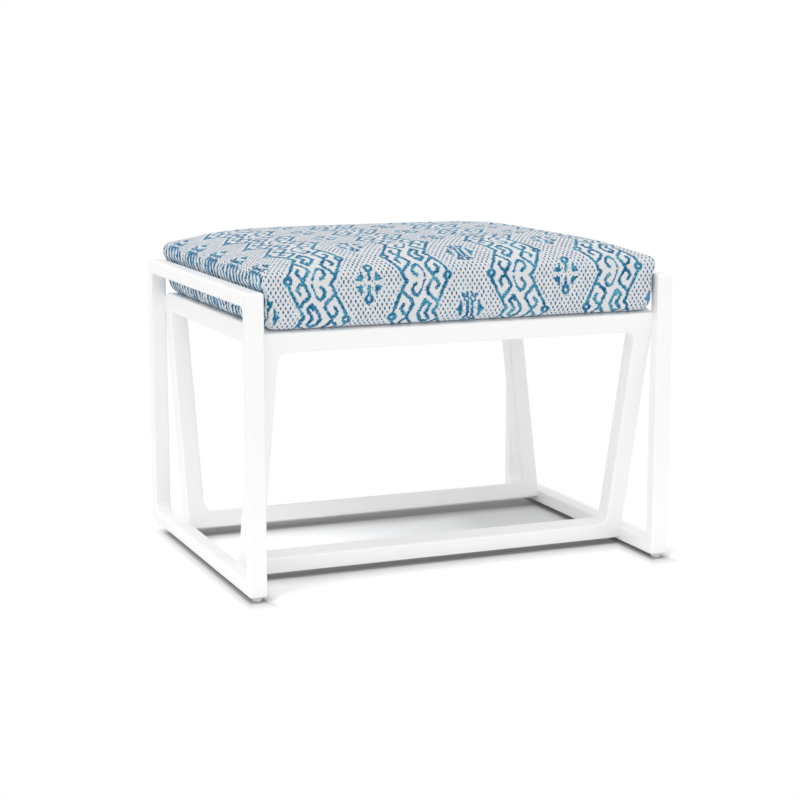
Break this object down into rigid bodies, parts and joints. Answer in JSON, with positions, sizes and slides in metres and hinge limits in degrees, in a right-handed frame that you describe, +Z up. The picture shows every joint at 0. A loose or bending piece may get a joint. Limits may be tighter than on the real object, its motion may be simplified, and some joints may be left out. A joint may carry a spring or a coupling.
{
  "type": "outdoor ottoman",
  "caption": "Outdoor ottoman footstool: square tube side frames, leaning inner frames and a loose crowned cushion.",
  "frame": {"origin": "on the floor, under the centre of the overall footprint", "axes": "+X to the right as seen from the front, -Y to the front, +Z up; the side frames lie in YZ planes"},
  "size_m": [0.66, 0.515, 0.4867],
  "materials": {
    "white_powder_coat": "satin",
    "glide_plastic": "matte",
    "cover_fabric": "matte",
    "zip_tape": "matte",
    "foam": "matte"
  },
  "bodies": {
    "frame": {"left_front_post": "white_powder_coat", "left_lower_front_gusset": "white_powder_coat", "left_arm_rail": "white_powder_coat", "left_upper_front_gusset": "white_powder_coat", "left_rear_post": "white_powder_coat", "left_upper_rear_gusset": "white_powder_coat", "left_floor_rail": "white_powder_coat", "left_lower_rear_gusset": "white_powder_coat", "right_front_post": "white_powder_coat", "right_lower_front_gusset": "white_powder_coat", "right_arm_rail": "white_powder_coat", "right_upper_front_gusset": "white_powder_coat", "right_rear_post": "white_powder_coat", "right_upper_rear_gusset": "white_powder_coat", "right_floor_rail": "white_powder_coat", "right_lower_rear_gusset": "white_powder_coat", "front_left_leg": "white_powder_coat", "front_lower_left_gusset": "white_powder_coat", "front_seat_rail": "white_powder_coat", "front_upper_left_gusset": "white_powder_coat", "front_right_leg": "white_powder_coat", "front_upper_right_gusset": "white_powder_coat", "front_inner_floor_rail": "white_powder_coat", "front_lower_right_gusset": "white_powder_coat", "rear_right_leg": "white_powder_coat", "rear_lower_right_gusset": "white_powder_coat", "rear_seat_rail": "white_powder_coat", "rear_upper_right_gusset": "white_powder_coat", "rear_left_leg": "white_powder_coat", "rear_upper_left_gusset": "white_powder_coat", "rear_inner_floor_rail": "white_powder_coat", "rear_lower_left_gusset": "white_powder_coat", "left_seat_rail": "white_powder_coat", "right_seat_rail": "white_powder_coat", "seat_slat_1": "white_powder_coat", "seat_slat_2": "white_powder_coat", "seat_slat_3": "white_powder_coat", "seat_slat_4": "white_powder_coat", "seat_slat_5": "white_powder_coat", "left_front_glide": "glide_plastic", "left_rear_glide": "glide_plastic", "right_front_glide": "glide_plastic", "right_rear_glide": "glide_plastic"},
    "cushion": {"cushion_cover": "cover_fabric", "cushion_zip": "zip_tape", "cushion_core": "foam"}
  },
  "joints": [
    {"name": "cushion_lift", "type": "slide", "parent": "frame", "child": "cushion", "axis": [0, 0, 1], "range_m": [0, 0.15]}
  ]
}
